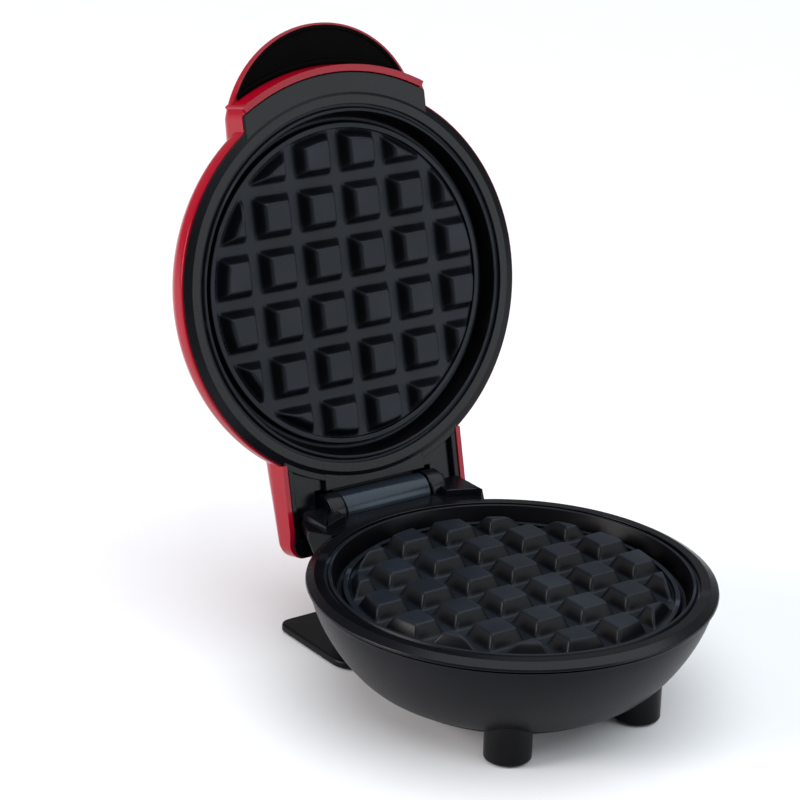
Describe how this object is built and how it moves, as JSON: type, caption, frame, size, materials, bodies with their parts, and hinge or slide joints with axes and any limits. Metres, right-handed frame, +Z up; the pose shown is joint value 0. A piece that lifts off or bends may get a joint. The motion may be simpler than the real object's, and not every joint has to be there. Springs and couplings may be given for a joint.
{
  "type": "mini waffle maker",
  "caption": "Small round electric waffle maker with a hinged domed lid standing open, gridded non-stick plates, a bowl-shaped base, front feet and a rear stand.",
  "frame": {"origin": "on the standing surface, under the middle of the whole object with its lid open", "axes": "+Z up, +X along the hinge towards the user's right, -Y towards the user and the handle of the closed lid"},
  "size_m": [0.128, 0.184, 0.1902],
  "materials": {
    "bowl_black": "satin black moulded plastic",
    "rim_black": "semi-gloss black moulded plastic",
    "nonstick_coating": "die-cast, dark grey non-stick coating",
    "cover_black": "matt black moulded plastic",
    "black_rubber": "matt",
    "red_gloss": "high-gloss deep red",
    "zinc_steel": "zinc plated",
    "shield_aluminium": "pressed sheet",
    "element_sheath": "heat-tinted sheath",
    "thermostat_ceramic": "unglazed",
    "fuse_sleeve": "woven glass sleeve",
    "block_white": "off-white ceramic",
    "lens_blue": "translucent",
    "lamp_glass": "clear bulb"
  },
  "bodies": {
    "base": {"base_bowl": "bowl_black", "base_rim": "rim_black", "lower_plate": "nonstick_coating", "bottom_cover": "cover_black", "front_foot_pad_left": "black_rubber", "front_foot_pad_right": "black_rubber", "rear_foot_pad_left": "black_rubber", "rear_foot_pad_right": "black_rubber", "hinge_pin": "zinc_steel", "cord_bushing": "black_rubber", "lower_heating_element": "element_sheath", "lower_heat_shield": "shield_aluminium", "lower_thermostat": "thermostat_ceramic", "thermal_fuse": "fuse_sleeve", "terminal_block": "block_white", "lower_plate_screw_rear": "zinc_steel", "lower_plate_screw_left": "zinc_steel", "lower_plate_screw_right": "zinc_steel", "base_screw_front_left": "zinc_steel", "base_screw_front_right": "zinc_steel", "base_screw_rear_left": "zinc_steel", "base_screw_rear_right": "zinc_steel"},
    "lid": {"lid_cover": "red_gloss", "handle_liner": "rim_black", "lid_housing": "rim_black", "upper_plate": "nonstick_coating", "upper_heating_element": "element_sheath", "upper_heat_shield": "shield_aluminium", "upper_thermostat": "thermostat_ceramic", "upper_plate_screw_rear": "zinc_steel", "upper_plate_screw_left": "zinc_steel", "upper_plate_screw_right": "zinc_steel", "lid_screw_front_left": "zinc_steel", "lid_screw_front_right": "zinc_steel", "lid_screw_rear_left": "zinc_steel", "lid_screw_rear_right": "zinc_steel", "indicator_lens": "lens_blue", "indicator_lamp": "lamp_glass"}
  },
  "joints": [
    {"name": "lid_hinge", "type": "hinge", "parent": "base", "child": "lid", "pos_m": [0, 0.04284, 0.041], "axis": [1, 0, 0], "range_deg": [0, 103]}
  ]
}
